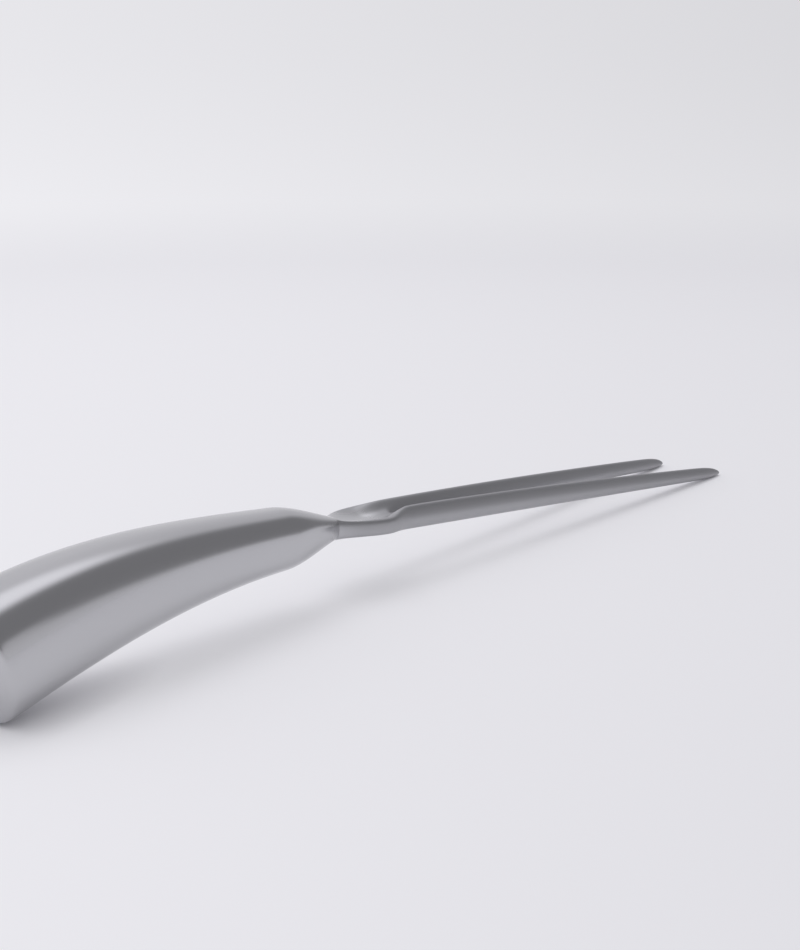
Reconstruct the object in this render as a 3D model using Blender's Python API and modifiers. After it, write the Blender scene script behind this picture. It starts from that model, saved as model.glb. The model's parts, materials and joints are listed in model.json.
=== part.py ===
"""Carving fork: a forged two-tined head with its tang cemented into a hollow steel handle.

Units are metres, +Z is up. The fork lies as it does on a table, on the lower edge of its butt
and on its two tips. X runs from the butt to the tips and the fork is symmetric about Y = 0.
"""
import math

import bmesh
import bpy
from mathutils import Vector

MM = 0.001

# Overall
LENGTH = 290 * MM            # centre of the butt face to the tips
HANDLE_LENGTH = 111.8 * MM   # centre of the butt face to the mouth, where the head starts
CLEARANCE = 0.3 * MM         # gap between pieces that touch
MERGE = 0.001 * MM           # points closer than this are one point

# Handle: centreline and section
BUTT_HEIGHT = 26.4 * MM      # height of the section at the butt
FRONT_HEIGHT = 14.5 * MM     # height that the handle tapers to before its front shoulder
NECK_HEIGHT = 6 * MM         # height of the round neck at the mouth
TAPER_LENGTH = 108 * MM
SHOULDER_LENGTH = 20.3 * MM  # how far the front of the handle takes to round in to the neck
SHOULDER_END = 1.1           # how steeply it still closes in at the mouth, 0 is level
HANDLE_POWER = 2.4           # section of the handle, 2 is a circle, more is squarer
BUTT_SLOPE = 0.25            # rise of the centreline at the butt
NECK_SLOPE = -0.085          # rise of the centreline at the mouth
NECK_LEVEL = 17.95 * MM      # height of the centreline at the mouth
WALL = 0.8 * MM

# End cap
CAP_THICKNESS = 3.2 * MM
CAP_FILLET = 1.8 * MM
SPIGOT_DEPTH = 3 * MM
SPIGOT_CHAMFER = 0.4 * MM

# Tang and the cement that holds it
TANG_LENGTH = 40 * MM
CEMENT_LENGTH = 22 * MM
CEMENT_SETBACK = 2 * MM      # from the end of the tang to the rear of the cement
BORE_SEGMENTS = 24

# Fork head
PALM_DISTANCE = 18 * MM      # mouth to the widest part of the shoulder
PALM_SPREAD = 13.8 * MM      # between the centres of its two rounded edges
PALM_EDGE = 4.6 * MM         # width of one edge
PALM_TOP = 2.3 * MM          # top of the edges above the centreline
PALM_UNDER = 2 * MM          # underside below the centreline
PALM_FLOOR = 0.6 * MM        # floor of the hollow between the edges, above the centreline
RISE_DISTANCE = 12.5 * MM    # mouth to where the tines start to rise out of the shoulder
CROTCH_DISTANCE = 23.5 * MM  # mouth to the crotch between the tines
WEB_TOP = 1.6 * MM           # top of the web at the crotch, above the centreline
TINE_ROOT_HEIGHT = 6.4 * MM
TINE_ROOT_WIDTH = 4.6 * MM
TINE_TIP_HEIGHT = 3.7 * MM
TINE_TIP_WIDTH = 3.5 * MM
TINE_TAPER = 1.8             # how late a tine gets thinner, 1 is evenly
TINE_RIDGE = 0.61            # share of a tine's height that is above its widest point
TINE_POWER = 1.6             # section of a tine, 2 is an oval, less is nearer a diamond
ROOT_SPREAD = 8.8 * MM       # between the tine centres at the crotch
TIP_SPREAD = 21 * MM         # between the tine centres at the tips
TIP_SLOPE = -0.104           # rise of the tines at the tips
TIP_LENGTH = 14 * MM         # rounded point
TIP_END = 0.2                # size of its blunt end, as a share of the tine

# Facets
TAPER_RINGS = 10
SHOULDER_RINGS = 14
HALF_SECTION_SEGMENTS = 18
CEMENT_RINGS = 4
FILLET_SEGMENTS = 4
SUBDIVISION = 2
RING_POINTS = 10             # control points round one tine, or round half of the neck
TANG_RINGS = 2
SHOULDER_SECTIONS = 6
TINE_SECTIONS = 4
TIP_STATIONS = (0.6, 0.25, 0.0)

STEEL = (0.56, 0.56, 0.57, 1.0)
CEMENT = (0.42, 0.40, 0.36, 1.0)


def smooth_step(value):
    """Ease from 0 to 1 with level ends."""
    t = min(max(value, 0.0), 1.0)
    return hermite(t, 1.0, 0.0, 0.0, 1.0, 0.0)[0]


def hermite(t, span, start, start_slope, end, end_slope):
    """Height and slope of the cubic between two ends, t running from 0 to 1 over the span."""
    height = ((2 * t**3 - 3 * t**2 + 1) * start + (t**3 - 2 * t**2 + t) * span * start_slope
              + (3 * t**2 - 2 * t**3) * end + (t**3 - t**2) * span * end_slope)
    slope = ((6 * t**2 - 6 * t) * (start - end) / span + (3 * t**2 - 4 * t + 1) * start_slope
             + (3 * t**2 - 2 * t) * end_slope)
    return height, slope


def spaced(start, end, count):
    """Evenly spaced values, both ends included."""
    return [start + (end - start) * i / count for i in range(count + 1)]


def butt_level():
    """Centre of the butt face, so that the filleted lower edge of the cap touches the table."""
    tilt = math.atan(BUTT_SLOPE)
    corner_lift = CAP_FILLET * (math.cos(tilt) + math.sin(tilt) - 1.0)
    return BUTT_HEIGHT / 2 * math.cos(tilt) - corner_lift


def tip_level():
    """Height of the tine's centre at its end, so that the drooping rounded point touches the table."""
    drop = -TIP_SLOPE * TIP_LENGTH
    return math.hypot(TINE_TIP_HEIGHT * (1.0 - TINE_RIDGE), drop) - drop


def cap_reach():
    """How far along X the end cap reaches into the handle."""
    return (CAP_THICKNESS + SPIGOT_DEPTH) * math.cos(math.atan(BUTT_SLOPE))


def handle_spine(x):
    """Height of the handle's centreline, straight along the end cap and its spigot."""
    start = cap_reach()
    if x < start:
        return butt_level() + x * BUTT_SLOPE
    span = HANDLE_LENGTH - start
    start_level = butt_level() + start * BUTT_SLOPE
    return hermite((x - start) / span, span, start_level, BUTT_SLOPE, NECK_LEVEL, NECK_SLOPE)[0]


def head_spine(x):
    """Height and slope of the centreline of the head, straight along the tang behind the mouth."""
    if x < HANDLE_LENGTH:
        return NECK_LEVEL + (x - HANDLE_LENGTH) * NECK_SLOPE, NECK_SLOPE
    span = LENGTH - HANDLE_LENGTH
    return hermite((x - HANDLE_LENGTH) / span, span, NECK_LEVEL, NECK_SLOPE, tip_level(), TIP_SLOPE)


def handle_radius(x):
    """Half the height of the handle's section: a taper, then the shoulder that rounds to the neck."""
    taper = BUTT_HEIGHT + (FRONT_HEIGHT - BUTT_HEIGHT) * smooth_step(x / TAPER_LENGTH)
    along = max((x - HANDLE_LENGTH) / SHOULDER_LENGTH + 1.0, 0.0)
    shoulder = hermite(along, 1.0, 0.0, 0.0, 1.0, SHOULDER_END)[0]
    return (taper + (NECK_HEIGHT - taper) * shoulder) / 2


def superellipse(angle, power):
    """Point of a unit section at an angle from +Y, as (across, up)."""
    across = math.copysign(abs(math.cos(angle)) ** (2.0 / power), math.cos(angle))
    up = math.copysign(abs(math.sin(angle)) ** (2.0 / power), math.sin(angle))
    return across, up


def plain_material(name, colour, roughness, metallic):
    material = bpy.data.materials.new(name)
    material.use_nodes = True
    shader = material.node_tree.nodes["Principled BSDF"]
    shader.inputs["Base Color"].default_value = colour
    shader.inputs["Roughness"].default_value = roughness
    shader.inputs["Metallic"].default_value = metallic
    return material


def new_part(name, mesh, collection, root, material):
    mesh.shade_smooth()
    mesh.materials.append(material)
    piece = bpy.data.objects.new(name, mesh)
    collection.objects.link(piece)
    piece.parent = root
    return piece


def make_guide(piece, collection, root):
    """Keep a cutter or a profile in its own collection, drawn as wire and not rendered."""
    for holder in list(piece.users_collection):
        holder.objects.unlink(piece)
    collection.objects.link(piece)
    piece.parent = root
    piece.hide_render = True
    piece.display_type = "WIRE"


def section_profile(name, start, end, segments, collection, root):
    """Flat curve of the handle's section between two angles, closed when they go right round."""
    whole = end - start >= 2 * math.pi
    angles = spaced(start, end, segments)
    if whole:
        angles.pop()
    curve = bpy.data.curves.new(name, "CURVE")
    curve.dimensions = "2D"
    curve.fill_mode = "NONE"
    spline = curve.splines.new("POLY")
    spline.points.add(len(angles) - 1)
    spline.use_cyclic_u = whole
    for point, angle in zip(spline.points, angles):
        point.co = (*superellipse(angle, HANDLE_POWER), 0.0, 1.0)
    profile = bpy.data.objects.new(name, curve)
    make_guide(profile, collection, root)
    return profile


def swept_mesh(name, stations, profile, capped):
    """Mesh of a profile swept through stations, each of them (x, height, scale of the profile)."""
    curve = bpy.data.curves.new(name, "CURVE")
    curve.dimensions = "3D"
    curve.twist_mode = "Z_UP"
    curve.bevel_mode = "OBJECT"
    curve.bevel_object = profile
    curve.use_fill_caps = capped
    spline = curve.splines.new("POLY")
    spline.points.add(len(stations) - 1)
    for point, (x, height, scale) in zip(spline.points, stations):
        point.co = (x, 0.0, height, 1.0)
        point.radius = scale
    sweep = bpy.data.objects.new(name, curve)
    bpy.context.scene.collection.objects.link(sweep)
    depsgraph = bpy.context.evaluated_depsgraph_get()
    mesh = bpy.data.meshes.new_from_object(sweep.evaluated_get(depsgraph))
    bpy.data.objects.remove(sweep)
    bpy.data.curves.remove(curve)
    welded = bmesh.new()
    welded.from_mesh(mesh)
    bmesh.ops.remove_doubles(welded, verts=welded.verts, dist=MERGE)
    bmesh.ops.recalc_face_normals(welded, faces=welded.faces)
    welded.to_mesh(mesh)
    welded.free()
    return mesh


def handle_stations(places, inset):
    """Stations along the handle's centreline, the section there made smaller by an inset."""
    return [(x, handle_spine(x), handle_radius(x) - inset) for x in places]


def handle_shell(name, side, profile, collection, root, material):
    """One pressed half of the handle, open at the mouth, at the butt and at the seam."""
    start = (CAP_THICKNESS + CLEARANCE) * math.cos(math.atan(BUTT_SLOPE))
    shoulder = HANDLE_LENGTH - SHOULDER_LENGTH
    places = [start] + spaced(cap_reach(), shoulder, TAPER_RINGS)
    places += spaced(shoulder, HANDLE_LENGTH, SHOULDER_RINGS)[1:]
    mesh = swept_mesh(name, handle_stations(places, 0.0), profile, False)
    shell = new_part(name, mesh, collection, root, material)
    shell.location.y = side * CLEARANCE / 2
    wall = shell.modifiers.new("wall", "SOLIDIFY")
    wall.thickness = WALL
    wall.offset = -1.0
    wall.use_even_offset = True
    return shell


def end_cap(profile, collection, root, material):
    """Flat plate with a filleted rim, and a chamfered spigot that seats inside the shells."""
    rim = BUTT_HEIGHT / 2
    spigot = rim - WALL - CLEARANCE
    spigot_end = CAP_THICKNESS + SPIGOT_DEPTH
    stations = [(spigot_end, 0.0, spigot - SPIGOT_CHAMFER), (spigot_end - SPIGOT_CHAMFER, 0.0, spigot)]
    stations += [(CAP_THICKNESS + MERGE, 0.0, spigot), (CAP_THICKNESS - MERGE, 0.0, rim)]
    for angle in spaced(0.0, math.pi / 2, FILLET_SEGMENTS):
        depth = CAP_FILLET * (1.0 - math.sin(angle))
        stations.append((depth, 0.0, rim - CAP_FILLET * (1.0 - math.cos(angle))))
    mesh = swept_mesh("end_cap", stations, profile, True)
    cap = new_part("end_cap", mesh, collection, root, material)
    cap.location = (0.0, 0.0, butt_level())
    cap.rotation_euler = (0.0, -math.atan(BUTT_SLOPE), 0.0)
    return cap


def tang_radius():
    """The tang passes through the mouth of the shells with a clearance all round."""
    return NECK_HEIGHT / 2 - WALL - CLEARANCE


def tang_cement(profile, collection, cutters, root, material):
    """Plug of set filler round the rear of the tang, inside the shells."""
    rear = HANDLE_LENGTH - TANG_LENGTH + CEMENT_SETBACK
    places = spaced(rear, rear + CEMENT_LENGTH, CEMENT_RINGS)
    mesh = swept_mesh("tang_cement", handle_stations(places, WALL + CLEARANCE), profile, True)
    cement = new_part("tang_cement", mesh, collection, root, material)
    bpy.ops.mesh.primitive_cylinder_add(
        vertices=BORE_SEGMENTS, radius=tang_radius() + CLEARANCE, depth=2 * CEMENT_LENGTH)
    cutter = bpy.context.object
    cutter.name = "tang_bore_cutter"
    middle = rear + CEMENT_LENGTH / 2
    level, slope = head_spine(middle)
    cutter.location = (middle, 0.0, level)
    cutter.rotation_euler = (0.0, math.pi / 2 - math.atan(slope), 0.0)
    make_guide(cutter, cutters, root)
    bore = cement.modifiers.new("tang bore", "BOOLEAN")
    bore.operation = "DIFFERENCE"
    bore.object = cutter
    return cement


def swell(count):
    """A subdivided ring of so many points comes out smaller than its cage by this factor."""
    return 6.0 / (4.0 + 2.0 * math.cos(2 * math.pi / count))


def half_ring(radius, power):
    """Half a section on the middle plane, from the top centre to the bottom centre, as (across, up)."""
    count = 2 * (RING_POINTS - 1)
    cage = radius * swell(count)
    angles = [math.pi / 2 - 2 * math.pi * i / count for i in range(RING_POINTS)]
    return [(cage * across, cage * up) for across, up in (superellipse(angle, power) for angle in angles)]


def side_ring(centre, width, top, under, power):
    """Section of a tine or of an edge, from its inner upper point over the top to its inner lower point."""
    cage = swell(RING_POINTS)
    first = math.pi - math.pi / RING_POINTS
    ring = []
    for i in range(RING_POINTS):
        across, up = superellipse(first - 2 * math.pi * i / RING_POINTS, power)
        height = top if up > 0 else under
        ring.append((centre + cage * width / 2 * across, cage * height * up))
    return ring


def joined_ring(ring, inner, top, under):
    """Such a section joined to the middle plane by a flat web that starts at its inner side."""
    return [(0.0, top), (inner, top)] + ring[2:-2] + [(inner, -under), (0.0, -under)]


def tine_section(share):
    """Centre, width and height of a tine at a share of the way from the crotch to the tip."""
    centre = (ROOT_SPREAD + (TIP_SPREAD - ROOT_SPREAD) * share) / 2
    thinned = share**TINE_TAPER
    width = TINE_ROOT_WIDTH + (TINE_TIP_WIDTH - TINE_ROOT_WIDTH) * thinned
    height = TINE_ROOT_HEIGHT + (TINE_TIP_HEIGHT - TINE_ROOT_HEIGHT) * thinned
    return centre, width, height


def tine_ring(share, scale):
    """Section of a tine, drawn in by a scale where its point narrows."""
    centre, width, height = tine_section(share)
    top = height * TINE_RIDGE
    return side_ring(centre, width * scale, top * scale, (height - top) * scale, TINE_POWER)


def palm_ring():
    """Section of the shoulder at its widest, a shallow hollow between two rounded edges."""
    centre = PALM_SPREAD / 2
    edge = side_ring(centre, PALM_EDGE, PALM_TOP, PALM_UNDER, 2)
    return joined_ring(edge, centre - PALM_EDGE / 2, PALM_FLOOR, PALM_UNDER)


def web_ring():
    """Section at the crotch, the roots of the tines joined by the web."""
    centre, width, height = tine_section(0.0)
    return joined_ring(tine_ring(0.0, 1.0), centre - width / 2, WEB_TOP, height * (1.0 - TINE_RIDGE))


def blended(one, other, share):
    """Section part of the way from one to another."""
    return [(a + (c - a) * share, b + (d - b) * share) for (a, b), (c, d) in zip(one, other)]


def shoulder_ring(distance):
    """Section of the shoulder at a distance from the mouth, from the neck over the palm to the crotch."""
    neck = half_ring(NECK_HEIGHT / 2, HANDLE_POWER)
    to_palm = min(distance / PALM_DISTANCE, 1.0)
    widened = blended(neck, palm_ring(), 1.0 - (1.0 - to_palm) ** 2)
    to_crotch = (distance - RISE_DISTANCE) / (CROTCH_DISTANCE - RISE_DISTANCE)
    return blended(widened, web_ring(), smooth_step(to_crotch))


def placed(x, ring):
    """Points of a section square to the centreline of the head."""
    level, slope = head_spine(x)
    tilt = math.atan(slope)
    return [Vector((x - up * math.sin(tilt), across, level + up * math.cos(tilt))) for across, up in ring]


def head_sections():
    """Sections of half the head from the end of the tang to the tip, and how many come before the crotch."""
    tang = half_ring(tang_radius(), 2)
    places = spaced(-TANG_LENGTH, CLEARANCE, TANG_RINGS)
    sections = [placed(HANDLE_LENGTH + distance, tang) for distance in places]
    for distance in spaced(CLEARANCE, CROTCH_DISTANCE, SHOULDER_SECTIONS):
        sections.append(placed(HANDLE_LENGTH + distance, shoulder_ring(distance)))
    crotch = HANDLE_LENGTH + CROTCH_DISTANCE
    joined = len(sections)
    tine_length = LENGTH - crotch
    root = ROOT_SPREAD / 2 - TINE_ROOT_WIDTH / 2
    point_start = LENGTH - TIP_LENGTH
    for x in spaced(crotch + root, point_start, TINE_SECTIONS):
        sections.append(placed(x, tine_ring((x - crotch) / tine_length, 1.0)))
    for to_end in TIP_STATIONS:
        x = LENGTH - TIP_LENGTH * to_end
        scale = TIP_END + (1.0 - TIP_END) * math.sqrt(1.0 - (1.0 - to_end) ** 2)
        sections.append(placed(x, tine_ring((x - crotch) / tine_length, scale)))
    return sections, joined


def fork_head(collection, root, material):
    """Tang, neck, dished shoulder and splayed tines as one forging, half a cage mirrored and subdivided."""
    sections, joined = head_sections()
    cage = bmesh.new()
    crease = cage.edges.layers.float.new("crease_edge")
    rings = [[cage.verts.new(point) for point in section] for section in sections]
    for back, front in zip(rings, rings[1:]):
        for i in range(RING_POINTS - 1):
            cage.faces.new((back[i], back[i + 1], front[i + 1], front[i]))
    for back, front in zip(rings[joined - 1:], rings[joined:]):
        cage.faces.new((back[-1], back[0], front[0], front[-1]))
    cage.faces.new(reversed(rings[0]))
    cage.faces.new(rings[-1])
    for ring in rings[TANG_RINGS:TANG_RINGS + 2]:
        for one, other in zip(ring, ring[1:]):
            cage.edges.get((one, other))[crease] = 1.0
    bmesh.ops.recalc_face_normals(cage, faces=cage.faces)
    mesh = bpy.data.meshes.new("fork_head")
    cage.to_mesh(mesh)
    cage.free()
    head = new_part("fork_head", mesh, collection, root, material)
    mirror = head.modifiers.new("other half", "MIRROR")
    mirror.use_axis = (False, True, False)
    mirror.merge_threshold = MERGE
    smooth = head.modifiers.new("smooth", "SUBSURF")
    smooth.levels = SUBDIVISION
    smooth.render_levels = SUBDIVISION
    return head


def centre_on_origin(root, parts):
    """Move the whole fork so that the origin is at the middle of the bottom of its box."""
    bpy.context.view_layer.update()
    depsgraph = bpy.context.evaluated_depsgraph_get()
    corners = []
    for piece in parts:
        evaluated = piece.evaluated_get(depsgraph)
        corners += [evaluated.matrix_world @ vertex.co for vertex in evaluated.data.vertices]
    low = [min(corner[axis] for corner in corners) for axis in range(3)]
    high = [max(corner[axis] for corner in corners) for axis in range(3)]
    root.location = (-(low[0] + high[0]) / 2, -(low[1] + high[1]) / 2, -low[2])


def main():
    for leftover in list(bpy.data.objects):
        bpy.data.objects.remove(leftover, do_unlink=True)
    parts = bpy.data.collections.new("carving_fork")
    guides = bpy.data.collections.new("cutters")
    bpy.context.scene.collection.children.link(parts)
    bpy.context.scene.collection.children.link(guides)
    root = bpy.data.objects.new("carving_fork_root", None)
    parts.objects.link(root)

    steel = plain_material("satin_steel", STEEL, 0.3, 1.0)
    filler = plain_material("cement", CEMENT, 0.85, 0.0)

    top = math.pi / 2
    segments = HALF_SECTION_SEGMENTS
    right_half = section_profile("right_half_section", top - math.pi, top, segments, guides, root)
    left_half = section_profile("left_half_section", top, top + math.pi, segments, guides, root)
    whole = section_profile("whole_section", 0.0, 2 * math.pi, 2 * segments, guides, root)

    pieces = [
        fork_head(parts, root, steel),
        handle_shell("handle_shell_left", 1, left_half, parts, root, steel),
        handle_shell("handle_shell_right", -1, right_half, parts, root, steel),
        end_cap(whole, parts, root, steel),
        tang_cement(whole, parts, guides, root, filler),
    ]
    centre_on_origin(root, pieces)


main()
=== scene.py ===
"""Looks of the carving fork: its satin steel skins, the table it lies on, the light and the camera."""
import json
import math

import bmesh
import bpy
from mathutils import Matrix, Vector


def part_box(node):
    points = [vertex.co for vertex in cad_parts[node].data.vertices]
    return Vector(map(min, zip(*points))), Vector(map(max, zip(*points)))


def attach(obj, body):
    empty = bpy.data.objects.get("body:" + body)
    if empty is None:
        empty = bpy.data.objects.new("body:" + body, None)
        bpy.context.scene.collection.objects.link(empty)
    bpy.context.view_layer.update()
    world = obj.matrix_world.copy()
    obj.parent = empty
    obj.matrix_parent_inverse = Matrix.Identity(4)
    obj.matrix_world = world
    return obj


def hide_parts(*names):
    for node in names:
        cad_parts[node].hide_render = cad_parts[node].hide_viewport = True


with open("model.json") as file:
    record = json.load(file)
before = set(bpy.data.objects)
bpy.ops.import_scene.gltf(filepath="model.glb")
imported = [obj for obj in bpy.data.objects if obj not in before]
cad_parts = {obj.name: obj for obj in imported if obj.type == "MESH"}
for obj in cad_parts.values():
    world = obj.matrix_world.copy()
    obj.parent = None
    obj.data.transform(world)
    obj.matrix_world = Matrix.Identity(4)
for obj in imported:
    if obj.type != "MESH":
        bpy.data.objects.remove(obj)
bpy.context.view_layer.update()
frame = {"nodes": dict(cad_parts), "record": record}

MM = 0.001

# Sizes of the fork, as its solids have them, but for a deeper dish with fuller rims
LENGTH = 290 * MM              # centre of the butt face to the tips
HANDLE_LENGTH = 111.8 * MM     # centre of the butt face to the mouth, where the head starts
CLEARANCE = 0.3 * MM           # round the tang and the spigot
HAIRLINE = 0.01 * MM           # joint between skins that are ground flush
BUTT_HEIGHT = 26.4 * MM
FRONT_HEIGHT = 14.5 * MM       # that the handle tapers to
NECK_HEIGHT = 6 * MM
TAPER_LENGTH = 108 * MM
SHOULDER_LENGTH = 20.3 * MM    # over which the handle rounds down to the neck
SHOULDER_END = 1.1             # how steeply it meets the neck
HANDLE_POWER = 2.4             # squareness of a section, 2 for an ellipse
BUTT_SLOPE = 0.25              # of the centreline
NECK_SLOPE = -0.085
NECK_LEVEL = 17.95 * MM        # of the centreline above the table
WALL = 0.8 * MM
CAP_THICKNESS = 3.2 * MM
CAP_FILLET = 1.8 * MM
SPIGOT_DEPTH = 3 * MM
TANG_LENGTH = 40 * MM
TANG_POWER = 2
PALM_DISTANCE = 18 * MM        # from the mouth to the palm, the widest section of the shoulder
PALM_SPREAD = 13.8 * MM        # between the middles of its rims
PALM_EDGE = 4.6 * MM           # width of a rim
PALM_TOP = 2.3 * MM            # of a rim above the centreline
PALM_UNDER = 2 * MM
PALM_POWER = 3
PALM_FLOOR = -0.1 * MM         # of the dish above the centreline
PALM_FLAT = 2.8 * MM           # half the width of that floor
FLARE_EASE = 2                 # how soon the neck widens to the palm
DISH_EASE = 4                  # and how soon its top sinks to the floor of the dish
RISE_DISTANCE = 12.5 * MM      # from the mouth, where the palm starts to narrow to the crotch
RIM_RISE_DISTANCE = 14 * MM    # and where its rims start to rise into the tines
CROTCH_DISTANCE = 23.5 * MM
WEB_TOP = 1.6 * MM             # of the web between the tines, above the centreline
TINE_ROOT_HEIGHT = 6.4 * MM
TINE_ROOT_WIDTH = 4.6 * MM
TINE_TIP_HEIGHT = 3.7 * MM
TINE_TIP_WIDTH = 3.5 * MM
TINE_TAPER = 1.8               # how late a tine thins
TINE_RIDGE = 0.61              # share of its height above the centreline
TINE_POWER = 1.6
ROOT_SPREAD = 8.8 * MM         # between the middles of the tines
TIP_SPREAD = 21 * MM
TIP_SLOPE = -0.104             # of the centreline
TIP_LENGTH = 14 * MM           # over which a tine narrows to its point
TIP_END = 0.2                  # share of the section that is left there

# Facets of the skins
SECTION_SEGMENTS = 96
TAPER_RINGS = 48
SHOULDER_RINGS = 40
FILLET_SEGMENTS = 8
SHARP_EDGE = math.radians(40)
MERGE_DISTANCE = 0.001 * MM    # of points on the middle plane, where the halves of the head meet
HEAD_SUBDIVISION = 3
RING_POINTS = 10               # of half a section of the head, of which the first
DISH_POINTS = 2                # are on the floor of the dish
RIM_POINTS = 4                 # or between the middle plane and the outer side of the rim
TANG_RINGS = 2
SHOULDER_SECTIONS = 6
TINE_SECTIONS = 4
TIP_STATIONS = (0.6, 0.25, 0.0)   # shares of the point's length that are left to its end

# Camera, in an image of 800 by 950
IMAGE_HEIGHT = 950
SENSOR = 36.0
FOCAL_PIXELS = 1776.6
CAMERA_TURN = math.radians(51.001)    # from +Y towards +X
CAMERA_PITCH = math.radians(13.551)   # below the horizon
CAMERA_HEIGHT = 134.23 * MM
CAMERA_BACK = 450.43 * MM
CAMERA_LEFT = 2.63 * MM
CLIP_START = 10 * MM

# Directions in the studio: to the camera's right, away from it and up, and the camera's place
RIGHT = Vector((math.cos(CAMERA_TURN), -math.sin(CAMERA_TURN), 0.0))
AWAY = Vector((math.sin(CAMERA_TURN), math.cos(CAMERA_TURN), 0.0))
UP = Vector((0.0, 0.0, 1.0))
CAMERA_PLACE = UP * CAMERA_HEIGHT - AWAY * CAMERA_BACK - RIGHT * CAMERA_LEFT

# Studio light. Pairs of shares of a direction, along RIGHT, AWAY or UP, say where a change starts and ends
TINT = (0.985, 0.98, 1.02)             # the slightly blue white of the light
WALL_LEFT = 0.90                       # brightness of the backdrop at the left of the view and at its right
WALL_RIGHT = 0.77
WALL_SPAN = 0.25                       # from the middle of the view to either
WALL_SHADES = (                        # between these heights of a line of sight it changes by a factor
    (-0.16, 0.03, 0.91),
    (0.05, 0.30, 0.94),
)
DARK_SIDE = 0.27                       # brightness of the unlit part of the room
DARK_TURN = math.radians(120)          # its middle, from straight away towards the right
DARK_START = (-0.14, 0.20)             # how its edge fades in
DARK_FOOT = (0.18, 0.31)               # and how it fades in above the table
DARK_TILT = 1.0                        # its foot drops away from the camera,
DARK_HORIZON = (0.005, 0.04)           # but stays above the horizon,
DARK_STEP = 0.2                        # and is this much higher on a stretch towards the camera
DARK_STEP_START = (0.02, 0.15)         # where that stretch starts
DARK_STEP_END = (0.4, 0.2)             # and where it ends
SOFTBOX_LIGHT = 1.25
SOFTBOX_RISE = math.radians(75)        # of its middle above the horizon
SOFTBOX_EDGE = (math.radians(34), math.radians(20))   # from its middle, where it fades in
# Painted light falloff: the table's colour is lighter at the left and darker at the right
FLOOR_PAINTED_LIGHT_LEFT = (0.92, 0.915, 0.945, 1.0)
FLOOR_PAINTED_SHADE_RIGHT = (0.88, 0.875, 0.905, 1.0)
FLOOR_SPAN = 0.2                       # in metres, from the fork to either
FLOOR_SIZE = 200.0
FLOOR_ROUGHNESS = 0.9
FLOOR_FADE = (0.25, 1.2)               # in metres, where the table runs on into the backdrop
FLOOR_PAINTED_GLOW = 0.45                      # share of the table's light that is painted glow, which lightens the shadows on it,
PAINTED_CONTACT_SHADE_REACH = 10 * MM                # taken away where something is this near above it, as painted contact shade
LAMPS = {                              # power, size and place of each
    "key": (1.75, 0.7, AWAY * 0.45 + UP * 1.1 - RIGHT * 0.15),
    "top": (3.2, 1.6, UP * 1.1 - AWAY * 0.25 - RIGHT * 0.05),
}

# Steel
STEEL_LIGHT = (0.555, 0.555, 0.57, 1.0)    # the two tones of the handle
STEEL_DARK = (0.53, 0.53, 0.545, 1.0)
STEEL_HEAD = (0.455, 0.455, 0.47, 1.0)
# Painted highlight: the dish's steel colour, brighter than the head's, on its faces that look up
STEEL_DISH_PAINTED_HIGHLIGHT = (0.64, 0.64, 0.655, 1.0)
HEAD_START = (-8 * MM, 6 * MM)         # from the mouth, where the duller steel of the head sets in
DISH_EDGE = (7 * MM, 4 * MM)           # from the middle plane, where the smoother polish of the dish and its painted highlight, a brighter steel colour, set in
DISH_END = (22 * MM, 14 * MM)          # and from the mouth, where it ends
DISH_FACING = (0.3, 0.8)               # how far up a face looks that has this polish and painted highlight
HANDLE_ROUGHNESS = 0.21
NECK_ROUGHNESS = 0.48
TIP_ROUGHNESS = 0.62
DISH_ROUGHNESS = 0.18
BRUSH_SCALE = 9000.0                   # of the brushed lines, which are drawn out along the fork
BRUSH_STRETCH = (0.02, 1.0, 1.0)
BRUSH_DETAIL = 2.0
BRUSH_ROUGHNESS = (-0.02, 0.02)        # that they add
BRUSH_DEPTH = 0.001 * MM
BRUSH_STRENGTH = 0.03
CLOUD_SCALE = 60.0                     # of the soft change of tone
CLOUD_STRETCH = (0.4, 1.0, 1.0)
CLOUD_DETAIL = 4.0

# Cement
CEMENT_DARK = (0.36, 0.34, 0.30, 1.0)
CEMENT_LIGHT = (0.50, 0.48, 0.44, 1.0)
CEMENT_ROUGHNESS = (0.8, 0.95)
GRAIN_SCALE = 1800.0
GRAIN_STRETCH = (1.0, 1.0, 1.0)
GRAIN_DETAIL = 6.0
GRAIN_DEPTH = 0.1 * MM
GRAIN_STRENGTH = 0.6

NOISE_MIDDLE = (0.3, 0.7)              # between which most values of a noise lie


def hermite(t, span, start, start_slope, end, end_slope):
    """Height and slope of the cubic between two ends, t running from 0 to 1 over the span."""
    height = ((2 * t**3 - 3 * t**2 + 1) * start + (t**3 - 2 * t**2 + t) * span * start_slope
              + (3 * t**2 - 2 * t**3) * end + (t**3 - t**2) * span * end_slope)
    slope = ((6 * t**2 - 6 * t) * (start - end) / span + (3 * t**2 - 4 * t + 1) * start_slope
             + (3 * t**2 - 2 * t) * end_slope)
    return height, slope


def smooth_step(value):
    """Ease from 0 to 1 with level ends."""
    t = min(max(value, 0.0), 1.0)
    return hermite(t, 1.0, 0.0, 0.0, 1.0, 0.0)[0]


def spaced(start, end, count):
    """Evenly spaced values, both ends included."""
    return [start + (end - start) * i / count for i in range(count + 1)]


def butt_level():
    """Centre of the butt face above the table."""
    tilt = math.atan(BUTT_SLOPE)
    corner_lift = CAP_FILLET * (math.cos(tilt) + math.sin(tilt) - 1.0)
    return BUTT_HEIGHT / 2 * math.cos(tilt) - corner_lift


def tip_level():
    """Height of the tine's centre at its end."""
    drop = -TIP_SLOPE * TIP_LENGTH
    return math.hypot(TINE_TIP_HEIGHT * (1.0 - TINE_RIDGE), drop) - drop


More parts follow.
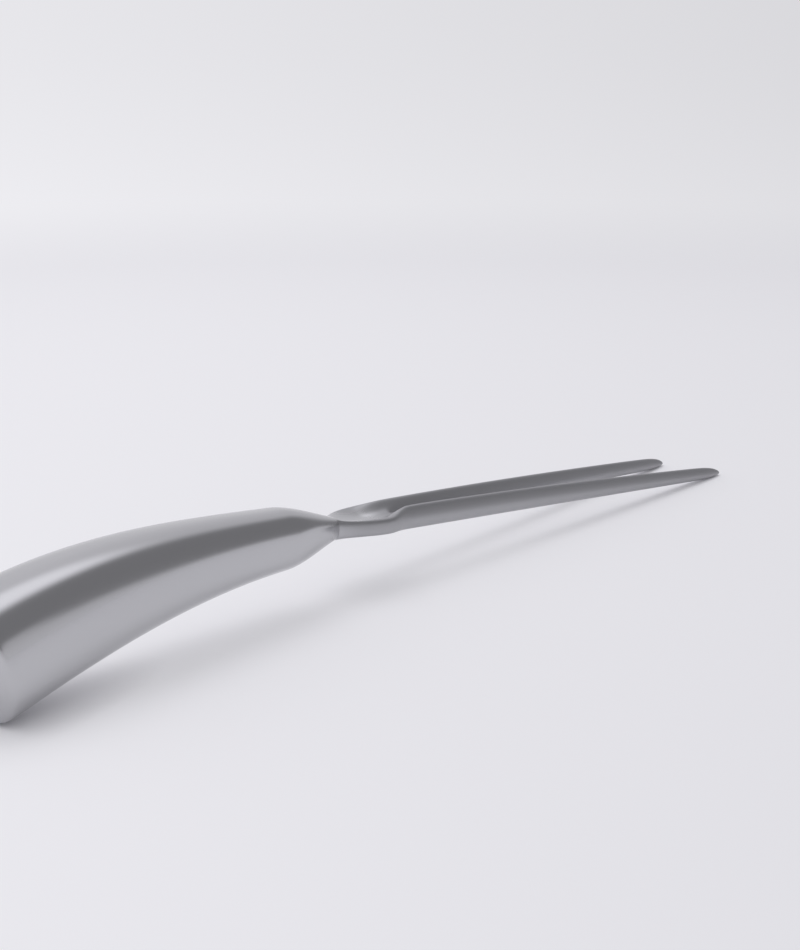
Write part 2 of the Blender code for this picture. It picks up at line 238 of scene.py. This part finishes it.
def handle_spine(x):
    """Height and slope of the handle's centreline, straight along the end cap and its spigot."""
    start = (CAP_THICKNESS + SPIGOT_DEPTH) * math.cos(math.atan(BUTT_SLOPE))
    if x < start:
        return butt_level() + x * BUTT_SLOPE, BUTT_SLOPE
    span = HANDLE_LENGTH - start
    start_level = butt_level() + start * BUTT_SLOPE
    return hermite((x - start) / span, span, start_level, BUTT_SLOPE, NECK_LEVEL, NECK_SLOPE)


def head_spine(x):
    """Height and slope of the centreline of the head, straight along the tang behind the mouth."""
    if x < HANDLE_LENGTH:
        return NECK_LEVEL + (x - HANDLE_LENGTH) * NECK_SLOPE, NECK_SLOPE
    span = LENGTH - HANDLE_LENGTH
    return hermite((x - HANDLE_LENGTH) / span, span, NECK_LEVEL, NECK_SLOPE, tip_level(), TIP_SLOPE)


def handle_radius(x):
    """Half the height of the handle's section: a taper, then the shoulder that rounds to the neck."""
    taper = BUTT_HEIGHT + (FRONT_HEIGHT - BUTT_HEIGHT) * smooth_step(x / TAPER_LENGTH)
    along = max((x - HANDLE_LENGTH) / SHOULDER_LENGTH + 1.0, 0.0)
    shoulder = hermite(along, 1.0, 0.0, 0.0, 1.0, SHOULDER_END)[0]
    return (taper + (NECK_HEIGHT - taper) * shoulder) / 2


def superellipse(angle, power):
    """Point of a unit section at an angle from +Y, as (across, up)."""
    across = math.copysign(abs(math.cos(angle)) ** (2.0 / power), math.cos(angle))
    up = math.copysign(abs(math.sin(angle)) ** (2.0 / power), math.sin(angle))
    return across, up


def placed(x, spine, ring):
    """Points of a section square to a centreline."""
    level, slope = spine
    tilt = math.atan(slope)
    return [Vector((x - up * math.sin(tilt), across, level + up * math.cos(tilt))) for across, up in ring]


def handle_ring(x, radius):
    """Whole section of the handle with its own radius, square to the centreline."""
    angles = spaced(0.0, 2 * math.pi, SECTION_SEGMENTS)[:-1]
    ring = [(radius * across, radius * up) for across, up in (superellipse(a, HANDLE_POWER) for a in angles)]
    return placed(x, handle_spine(x), ring)


def loft(name, rings, hollow):
    """Mesh through rings of equal length, either hollow, from the last back to the first, or capped."""
    skin = bmesh.new()
    rows = [[skin.verts.new(point) for point in ring] for ring in rings]
    if hollow:
        pairs = zip(rows, rows[1:] + rows[:1])
    else:
        pairs = zip(rows, rows[1:])
        skin.faces.new(rows[0])
        skin.faces.new(rows[-1])
    for back, front in pairs:
        for i in range(len(back)):
            skin.faces.new((back[i - 1], back[i], front[i], front[i - 1]))
    bmesh.ops.recalc_face_normals(skin, faces=skin.faces)
    mesh = bpy.data.meshes.new(name)
    skin.to_mesh(mesh)
    skin.free()
    return mesh


def new_piece(name, mesh, material, *nodes):
    """Piece of steel on the fork's only body, in place of the solids it stands for."""
    mesh.shade_smooth()
    mesh.set_sharp_from_angle(angle=SHARP_EDGE)
    mesh.materials.append(material)
    butt = frame["record"]["mounts"][0]["pos_m"]
    mesh.transform(Matrix.Translation((butt[0], 0.0, butt[2] - butt_level())))
    piece = bpy.data.objects.new(name, mesh)
    bpy.context.scene.collection.objects.link(piece)
    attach(piece, "root")
    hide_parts(*nodes)


def handle_skin(material):
    """The two pressed halves as they look once welded and ground flush: one hollow skin."""
    start = CAP_THICKNESS * math.cos(math.atan(BUTT_SLOPE)) + HAIRLINE
    shoulder = HANDLE_LENGTH - SHOULDER_LENGTH
    places = spaced(start, shoulder, TAPER_RINGS) + spaced(shoulder, HANDLE_LENGTH, SHOULDER_RINGS)[1:]
    outside = [handle_ring(x, handle_radius(x)) for x in places]
    inside = [handle_ring(x, handle_radius(x) - WALL) for x in reversed(places)]
    mesh = loft("handle_skin", outside + inside, True)
    new_piece("handle_skin", mesh, material, "handle_shell_left", "handle_shell_right")


def butt_skin(material):
    """Flat plate with a filleted rim that closes the handle, and the spigot it sits on."""
    rim = BUTT_HEIGHT / 2
    spigot = rim - WALL - CLEARANCE
    run = math.cos(math.atan(BUTT_SLOPE))
    stations = [(CAP_THICKNESS + SPIGOT_DEPTH, spigot), (CAP_THICKNESS, spigot), (CAP_THICKNESS, rim)]
    for angle in spaced(0.0, math.pi / 2, FILLET_SEGMENTS):
        depth = CAP_FILLET * (1.0 - math.sin(angle))
        stations.append((depth, rim - CAP_FILLET * (1.0 - math.cos(angle))))
    mesh = loft("butt_skin", [handle_ring(depth * run, radius) for depth, radius in stations], False)
    new_piece("butt_skin", mesh, material, "end_cap")


def swell(count):
    """A subdivided ring of so many points comes out smaller than its cage by this factor."""
    return 6.0 / (4.0 + 2.0 * math.cos(2 * math.pi / count))


def half_ring(radius, power):
    """Half a section on the middle plane, from the top centre to the bottom centre."""
    count = 2 * (RING_POINTS - 1)
    cage = radius * swell(count)
    angles = [math.pi / 2 - 2 * math.pi * i / count for i in range(RING_POINTS)]
    return [(cage * across, cage * up) for across, up in (superellipse(angle, power) for angle in angles)]


def side_ring(centre, width, top, under, power):
    """Section of a tine or of a rim, from its inner upper point over the top to its inner lower point."""
    cage = swell(RING_POINTS)
    first = math.pi - math.pi / RING_POINTS
    ring = []
    for i in range(RING_POINTS):
        across, up = superellipse(first - 2 * math.pi * i / RING_POINTS, power)
        height = top if up > 0 else under
        ring.append((centre + cage * width / 2 * across, cage * height * up))
    return ring


def joined_ring(ring, inner, top, under):
    """Such a section joined to the middle plane by a flat web that starts at its inner side."""
    return [(0.0, top), (inner, top)] + ring[2:-2] + [(inner, -under), (0.0, -under)]


def tine_section(share):
    """Centre, width and height of a tine at a share of the way from the crotch to the tip."""
    centre = (ROOT_SPREAD + (TIP_SPREAD - ROOT_SPREAD) * share) / 2
    thinned = share**TINE_TAPER
    width = TINE_ROOT_WIDTH + (TINE_TIP_WIDTH - TINE_ROOT_WIDTH) * thinned
    height = TINE_ROOT_HEIGHT + (TINE_TIP_HEIGHT - TINE_ROOT_HEIGHT) * thinned
    return centre, width, height


def tine_ring(share, scale):
    """Section of a tine, drawn in by a scale where its point narrows."""
    centre, width, height = tine_section(share)
    top = height * TINE_RIDGE
    return side_ring(centre, width * scale, top * scale, (height - top) * scale, TINE_POWER)


def palm_ring():
    """Section of the shoulder at its widest, a dish between two rounded rims."""
    rim = side_ring(PALM_SPREAD / 2, PALM_EDGE, PALM_TOP, PALM_UNDER, PALM_POWER)
    return joined_ring(rim, PALM_FLAT, PALM_FLOOR, PALM_UNDER)


def web_ring():
    """Section at the crotch, the roots of the tines joined by the web."""
    centre, width, height = tine_section(0.0)
    return joined_ring(tine_ring(0.0, 1.0), centre - width / 2, WEB_TOP, height * (1.0 - TINE_RIDGE))


def blended(one, other, share):
    """Section part of the way from one to another."""
    return [(a + (c - a) * share, b + (d - b) * share) for (a, b), (c, d) in zip(one, other)]


def shoulder_ring(distance):
    """Section of the shoulder at a distance from the mouth, from the neck over the palm to the crotch."""
    neck = half_ring(NECK_HEIGHT / 2, HANDLE_POWER)
    short_of_palm = max(1.0 - distance / PALM_DISTANCE, 0.0)
    widened = blended(neck, palm_ring(), 1.0 - short_of_palm**FLARE_EASE)
    sunk = blended(neck, palm_ring(), 1.0 - short_of_palm**DISH_EASE)
    leaf = sunk[:DISH_POINTS] + widened[DISH_POINTS:]
    outside, rim = [
        blended(leaf, web_ring(), smooth_step((distance - start) / (CROTCH_DISTANCE - start)))
        for start in (RISE_DISTANCE, RIM_RISE_DISTANCE)
    ]
    return rim[:RIM_POINTS] + outside[RIM_POINTS:]


def head_rings():
    """Places and sections of half the head from the end of the tang to the tip, and how many come
    before the crotch."""
    tang = half_ring(NECK_HEIGHT / 2 - WALL - CLEARANCE, TANG_POWER)
    rings = [(HANDLE_LENGTH + distance, tang) for distance in spaced(-TANG_LENGTH, HAIRLINE, TANG_RINGS)]
    for distance in spaced(HAIRLINE, CROTCH_DISTANCE, SHOULDER_SECTIONS):
        rings.append((HANDLE_LENGTH + distance, shoulder_ring(distance)))
    joined = len(rings)
    crotch = HANDLE_LENGTH + CROTCH_DISTANCE
    tine_length = LENGTH - crotch
    root = ROOT_SPREAD / 2 - TINE_ROOT_WIDTH / 2
    for x in spaced(crotch + root, LENGTH - TIP_LENGTH, TINE_SECTIONS):
        rings.append((x, tine_ring((x - crotch) / tine_length, 1.0)))
    for to_end in TIP_STATIONS:
        x = LENGTH - TIP_LENGTH * to_end
        scale = TIP_END + (1.0 - TIP_END) * math.sqrt(1.0 - (1.0 - to_end) ** 2)
        rings.append((x, tine_ring((x - crotch) / tine_length, scale)))
    return rings, joined


def half_head():
    """Cage of half the head, open on the middle plane."""
    rings, joined = head_rings()
    cage = bmesh.new()
    crease = cage.edges.layers.float.new("crease_edge")
    rows = [[cage.verts.new(point) for point in placed(x, head_spine(x), ring)] for x, ring in rings]
    for back, front in zip(rows, rows[1:]):
        for i in range(RING_POINTS - 1):
            cage.faces.new((back[i], back[i + 1], front[i + 1], front[i]))
    for back, front in zip(rows[joined - 1:], rows[joined:]):
        cage.faces.new((back[-1], back[0], front[0], front[-1]))
    cage.faces.new(reversed(rows[0]))
    cage.faces.new(rows[-1])
    # The step from the tang out to the neck stays sharp
    for row in rows[TANG_RINGS:TANG_RINGS + 2]:
        for one, other in zip(row, row[1:]):
            cage.edges.get((one, other))[crease] = 1.0
    bmesh.ops.recalc_face_normals(cage, faces=cage.faces)
    mesh = bpy.data.meshes.new("half_head")
    cage.to_mesh(mesh)
    cage.free()
    return mesh


def head_skin(material):
    """Tang, neck, dished shoulder and splayed tines: half a cage, mirrored and subdivided."""
    half = bpy.data.objects.new("half_head", half_head())
    bpy.context.scene.collection.objects.link(half)
    mirror = half.modifiers.new("other half", "MIRROR")
    mirror.use_axis = (False, True, False)
    mirror.merge_threshold = MERGE_DISTANCE
    smooth = half.modifiers.new("smooth", "SUBSURF")
    smooth.levels = HEAD_SUBDIVISION
    smooth.render_levels = HEAD_SUBDIVISION
    depsgraph = bpy.context.evaluated_depsgraph_get()
    mesh = bpy.data.meshes.new_from_object(half.evaluated_get(depsgraph))
    mesh.name = "head_skin"
    bpy.data.objects.remove(half)
    new_piece("head_skin", mesh, material, "fork_head")


class Graph:
    """Short calls for the nodes of one material or world."""

    def __init__(self, tree):
        self.tree = tree

    def node(self, kind, **settings):
        """New node with these settings."""
        node = self.tree.nodes.new(kind)
        for name, value in settings.items():
            setattr(node, name, value)
        return node

    def feed(self, socket, value):
        """Link an output to a socket, or set the socket to a plain value."""
        if isinstance(value, bpy.types.NodeSocket):
            self.tree.links.new(value, socket)
        else:
            socket.default_value = value

    def combine(self, operation, one, other):
        """Sum, product or another operation of two values."""
        node = self.node("ShaderNodeMath", operation=operation)
        self.feed(node.inputs[0], one)
        self.feed(node.inputs[1], other)
        return node.outputs[0]

    def vector(self, operation, vector, other=None):
        """Vector operation, its second vector a constant."""
        node = self.node("ShaderNodeVectorMath", operation=operation)
        self.feed(node.inputs[0], vector)
        if other is not None:
            node.inputs[1].default_value = other
        return node

    def along(self, vector, direction):
        """Length of a vector along a fixed direction."""
        return self.vector("DOT_PRODUCT", vector, direction).outputs["Value"]

    def ramp(self, value, source, target=(0.0, 1.0), kind="SMOOTHSTEP"):
        """Value taken from one range to another, and held at its ends."""
        node = self.node("ShaderNodeMapRange", interpolation_type=kind)
        self.feed(node.inputs["Value"], value)
        node.inputs["From Min"].default_value = source[0]
        node.inputs["From Max"].default_value = source[1]
        node.inputs["To Min"].default_value = target[0]
        node.inputs["To Max"].default_value = target[1]
        return node.outputs["Result"]

    def mix(self, share, one, other):
        """Mix of two colours."""
        node = self.node("ShaderNodeMix", data_type="RGBA")
        self.feed(node.inputs[0], share)
        self.feed(node.inputs[6], one)
        self.feed(node.inputs[7], other)
        return node.outputs[2]

    def blend(self, share, one, other):
        """Mix of two values."""
        node = self.node("ShaderNodeMix", data_type="FLOAT")
        self.feed(node.inputs[0], share)
        self.feed(node.inputs[2], one)
        self.feed(node.inputs[3], other)
        return node.outputs[0]

    def tinted(self, brightness):
        """Colour of the studio's light at a brightness."""
        node = self.node("ShaderNodeVectorMath", operation="SCALE")
        node.inputs[0].default_value = TINT
        self.feed(node.inputs["Scale"], brightness)
        return node.outputs[0]

    def noise(self, vector, scale, stretch, detail):
        """Noise of a scale, drawn out along X, Y or Z where the stretch is small."""
        mapping = self.node("ShaderNodeMapping")
        self.feed(mapping.inputs["Vector"], vector)
        mapping.inputs["Scale"].default_value = stretch
        node = self.node("ShaderNodeTexNoise")
        self.feed(node.inputs["Vector"], mapping.outputs[0])
        node.inputs["Scale"].default_value = scale
        node.inputs["Detail"].default_value = detail
        return node.outputs["Fac"]

    def bump(self, height, distance, strength):
        """Normal of a surface with a relief."""
        node = self.node("ShaderNodeBump")
        self.feed(node.inputs["Height"], height)
        node.inputs["Distance"].default_value = distance
        node.inputs["Strength"].default_value = strength
        return node.outputs["Normal"]


def new_material(name):
    """Material with its node helper and its shader."""
    material = bpy.data.materials.new(name)
    material.use_nodes = True
    return material, Graph(material.node_tree), material.node_tree.nodes["Principled BSDF"]


def dish_polish_and_painted_highlight(graph, place, before_crotch):
    """Share of the dish's smoother polish and of its painted highlight, a brighter steel colour: on faces
    that look up, near the middle plane and before the crotch.
    """
    across = graph.along(graph.vector("ABSOLUTE", place).outputs[0], (0.0, 1.0, 0.0))
    upward = graph.along(graph.node("ShaderNodeNewGeometry").outputs["Normal"], UP)
    dish_polish_and_highlight = graph.combine("MULTIPLY", graph.ramp(across, DISH_EDGE), graph.ramp(upward, DISH_FACING))
    return graph.combine("MULTIPLY", dish_polish_and_highlight, before_crotch)


def satin_steel():
    """Steel brushed along its length, darker and duller on the head than on the handle, but for its dish,
    which is smoother and has a brighter colour as a painted highlight.
    """
    material, graph, shader = new_material("satin_steel_brushed")
    place = graph.node("ShaderNodeTexCoord").outputs["Object"]
    lines = graph.noise(place, BRUSH_SCALE, BRUSH_STRETCH, BRUSH_DETAIL)
    clouds = graph.noise(place, CLOUD_SCALE, CLOUD_STRETCH, CLOUD_DETAIL)
    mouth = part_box("fork_head")[0].x + TANG_LENGTH
    tips = mouth + LENGTH - HANDLE_LENGTH
    forward = graph.along(place, (1.0, 0.0, 0.0))
    head = graph.ramp(forward, [mouth + distance for distance in HEAD_START])
    # The dish's smoother polish, and its painted highlight: a brighter steel colour on faces that look up
    dish_polish_and_highlight = dish_polish_and_painted_highlight(graph, place, graph.ramp(forward, [mouth + distance for distance in DISH_END]))
    tone = graph.mix(clouds, STEEL_LIGHT, STEEL_DARK)
    satin = graph.ramp(forward, (mouth, tips), (NECK_ROUGHNESS, TIP_ROUGHNESS), "LINEAR")
    finish = graph.blend(head, HANDLE_ROUGHNESS, graph.blend(dish_polish_and_highlight, satin, DISH_ROUGHNESS))
    grain = graph.ramp(lines, NOISE_MIDDLE, BRUSH_ROUGHNESS, "LINEAR")
    graph.feed(shader.inputs["Base Color"], graph.mix(head, tone, graph.mix(dish_polish_and_highlight, STEEL_HEAD, STEEL_DISH_PAINTED_HIGHLIGHT)))
    graph.feed(shader.inputs["Roughness"], graph.combine("ADD", finish, grain))
    graph.feed(shader.inputs["Normal"], graph.bump(lines, BRUSH_DEPTH, BRUSH_STRENGTH))
    shader.inputs["Metallic"].default_value = 1.0
    return material


def set_cement():
    """Grainy grey filler."""
    material, graph, shader = new_material("cement_set")
    place = graph.node("ShaderNodeTexCoord").outputs["Object"]
    grains = graph.noise(place, GRAIN_SCALE, GRAIN_STRETCH, GRAIN_DETAIL)
    graph.feed(shader.inputs["Base Color"], graph.mix(grains, CEMENT_DARK, CEMENT_LIGHT))
    graph.feed(shader.inputs["Roughness"], graph.ramp(grains, NOISE_MIDDLE, CEMENT_ROUGHNESS))
    graph.feed(shader.inputs["Normal"], graph.bump(grains, GRAIN_DEPTH, GRAIN_STRENGTH))
    return material


def dress_cement():
    """The filler keeps its solid, and gets its material."""
    materials = frame["nodes"]["tang_cement"].data.materials
    materials.clear()
    materials.append(set_cement())


def wall_light(graph, direction):
    """Brightness of the pale wall in a direction, darker towards the right and with height."""
    rightward = graph.along(direction, RIGHT)
    brightness = graph.ramp(rightward, (-WALL_SPAN, WALL_SPAN), (WALL_LEFT, WALL_RIGHT), "LINEAR")
    for low, high, shade in WALL_SHADES:
        step = graph.ramp(graph.along(direction, UP), (low, high), (1.0, shade))
        brightness = graph.combine("MULTIPLY", brightness, step)
    return brightness


def above_dark_foot(graph, direction):
    """How high a direction is above the foot of the unlit part, which has a slope and a step."""
    behind = graph.combine("MAXIMUM", graph.along(direction, AWAY), 0.0)
    slope = graph.combine("MULTIPLY", behind, DARK_TILT)
    nearer = graph.along(direction, -AWAY)
    step_end = graph.ramp(nearer, DARK_STEP_END, (0.0, -DARK_STEP))
    step = graph.combine("MULTIPLY", graph.ramp(nearer, DARK_STEP_START), step_end)
    return graph.combine("ADD", graph.combine("ADD", graph.along(direction, UP), slope), step)


def room_light(graph, direction):
    """Brightness of the room: the wall, a softbox overhead, and the unlit part at the right and in front."""
    softbox = AWAY * math.cos(SOFTBOX_RISE) + UP * math.sin(SOFTBOX_RISE)
    glow = graph.ramp(graph.along(direction, softbox), [math.cos(edge) for edge in SOFTBOX_EDGE])
    lit = graph.blend(glow, wall_light(graph, direction), SOFTBOX_LIGHT)
    dark = RIGHT * math.sin(DARK_TURN) + AWAY * math.cos(DARK_TURN)
    side = graph.ramp(graph.along(direction, dark), DARK_START)
    foot = graph.ramp(above_dark_foot(graph, direction), DARK_FOOT)
    above = graph.combine("MULTIPLY", foot, graph.ramp(graph.along(direction, UP), DARK_HORIZON))
    return graph.blend(graph.combine("MULTIPLY", side, above), lit, DARK_SIDE)


def room():
    """World with the room round the table."""
    world = bpy.data.worlds.new("room")
    bpy.context.scene.world = world
    world.use_nodes = True
    graph = Graph(world.node_tree)
    direction = graph.node("ShaderNodeTexCoord").outputs["Generated"]
    background = world.node_tree.nodes["Background"]
    graph.feed(background.inputs["Color"], graph.tinted(room_light(graph, direction)))


def table():
    """Pale table, its colour painted lighter at the left as a painted light falloff, that runs on into the
    backdrop, whose far part looks like the wall behind it; near the fork a share of its light is painted
    glow, taken away where something is near above it as painted contact shade.
    """
    bpy.ops.mesh.primitive_plane_add(size=FLOOR_SIZE)
    floor = bpy.context.object
    floor.name = "table"
    material, graph, shader = new_material("table_white")
    place = graph.node("ShaderNodeNewGeometry").outputs["Position"]
    # Painted light falloff across the table, lighter at the left
    rightward = graph.ramp(graph.along(place, RIGHT), (-FLOOR_SPAN, FLOOR_SPAN))
    graph.feed(shader.inputs["Base Color"], graph.mix(rightward, FLOOR_PAINTED_LIGHT_LEFT, FLOOR_PAINTED_SHADE_RIGHT))
    shader.inputs["Roughness"].default_value = FLOOR_ROUGHNESS
    shader.inputs["Specular IOR Level"].default_value = 0.0
    reach = graph.vector("LENGTH", place).outputs["Value"]
    sight = graph.vector("NORMALIZE", graph.vector("SUBTRACT", place, CAMERA_PLACE).outputs[0]).outputs[0]
    far = graph.node("ShaderNodeEmission")
    graph.feed(far.inputs["Color"], graph.tinted(wall_light(graph, sight)))
    blend = graph.node("ShaderNodeMixShader")
    # Painted glow of the table near the fork, taken away by ambient occlusion under the fork as painted
    # contact shade
    contact = graph.node("ShaderNodeAmbientOcclusion")
    contact.inputs["Distance"].default_value = PAINTED_CONTACT_SHADE_REACH
    glow = graph.combine("MULTIPLY", contact.outputs["AO"], FLOOR_PAINTED_GLOW)
    graph.feed(blend.inputs[0], graph.combine("MAXIMUM", graph.ramp(reach, FLOOR_FADE), glow))
    graph.feed(blend.inputs[1], shader.outputs[0])
    graph.feed(blend.inputs[2], far.outputs[0])
    graph.feed(material.node_tree.nodes["Material Output"].inputs["Surface"], blend.outputs[0])
    floor.data.materials.append(material)


def lamps():
    """Large soft lamps above the fork, one of them further back. The room already shows their reflection."""
    for name, (power, size, place) in LAMPS.items():
        light = bpy.data.lights.new(name, "AREA")
        light.energy = power
        light.size = size
        lamp = bpy.data.objects.new(name, light)
        bpy.context.scene.collection.objects.link(lamp)
        lamp.location = place
        lamp.rotation_euler = (-place).to_track_quat("-Z", "Y").to_euler()
        lamp.visible_glossy = False
        lamp.visible_camera = False


def photo_camera():
    """Camera at the photograph's place."""
    lens = bpy.data.cameras.new("photo_camera")
    lens.lens = FOCAL_PIXELS * SENSOR / IMAGE_HEIGHT
    lens.sensor_width = SENSOR
    lens.clip_start = CLIP_START
    camera = bpy.data.objects.new("photo_camera", lens)
    bpy.context.scene.collection.objects.link(camera)
    camera.location = CAMERA_PLACE
    camera.rotation_euler = (math.pi / 2 - CAMERA_PITCH, 0.0, -CAMERA_TURN)
    bpy.context.scene.camera = camera


steel = satin_steel()
handle_skin(steel)
butt_skin(steel)
head_skin(steel)
dress_cement()
room()
table()
lamps()
photo_camera()
bpy.context.scene.view_settings.view_transform = "Standard"
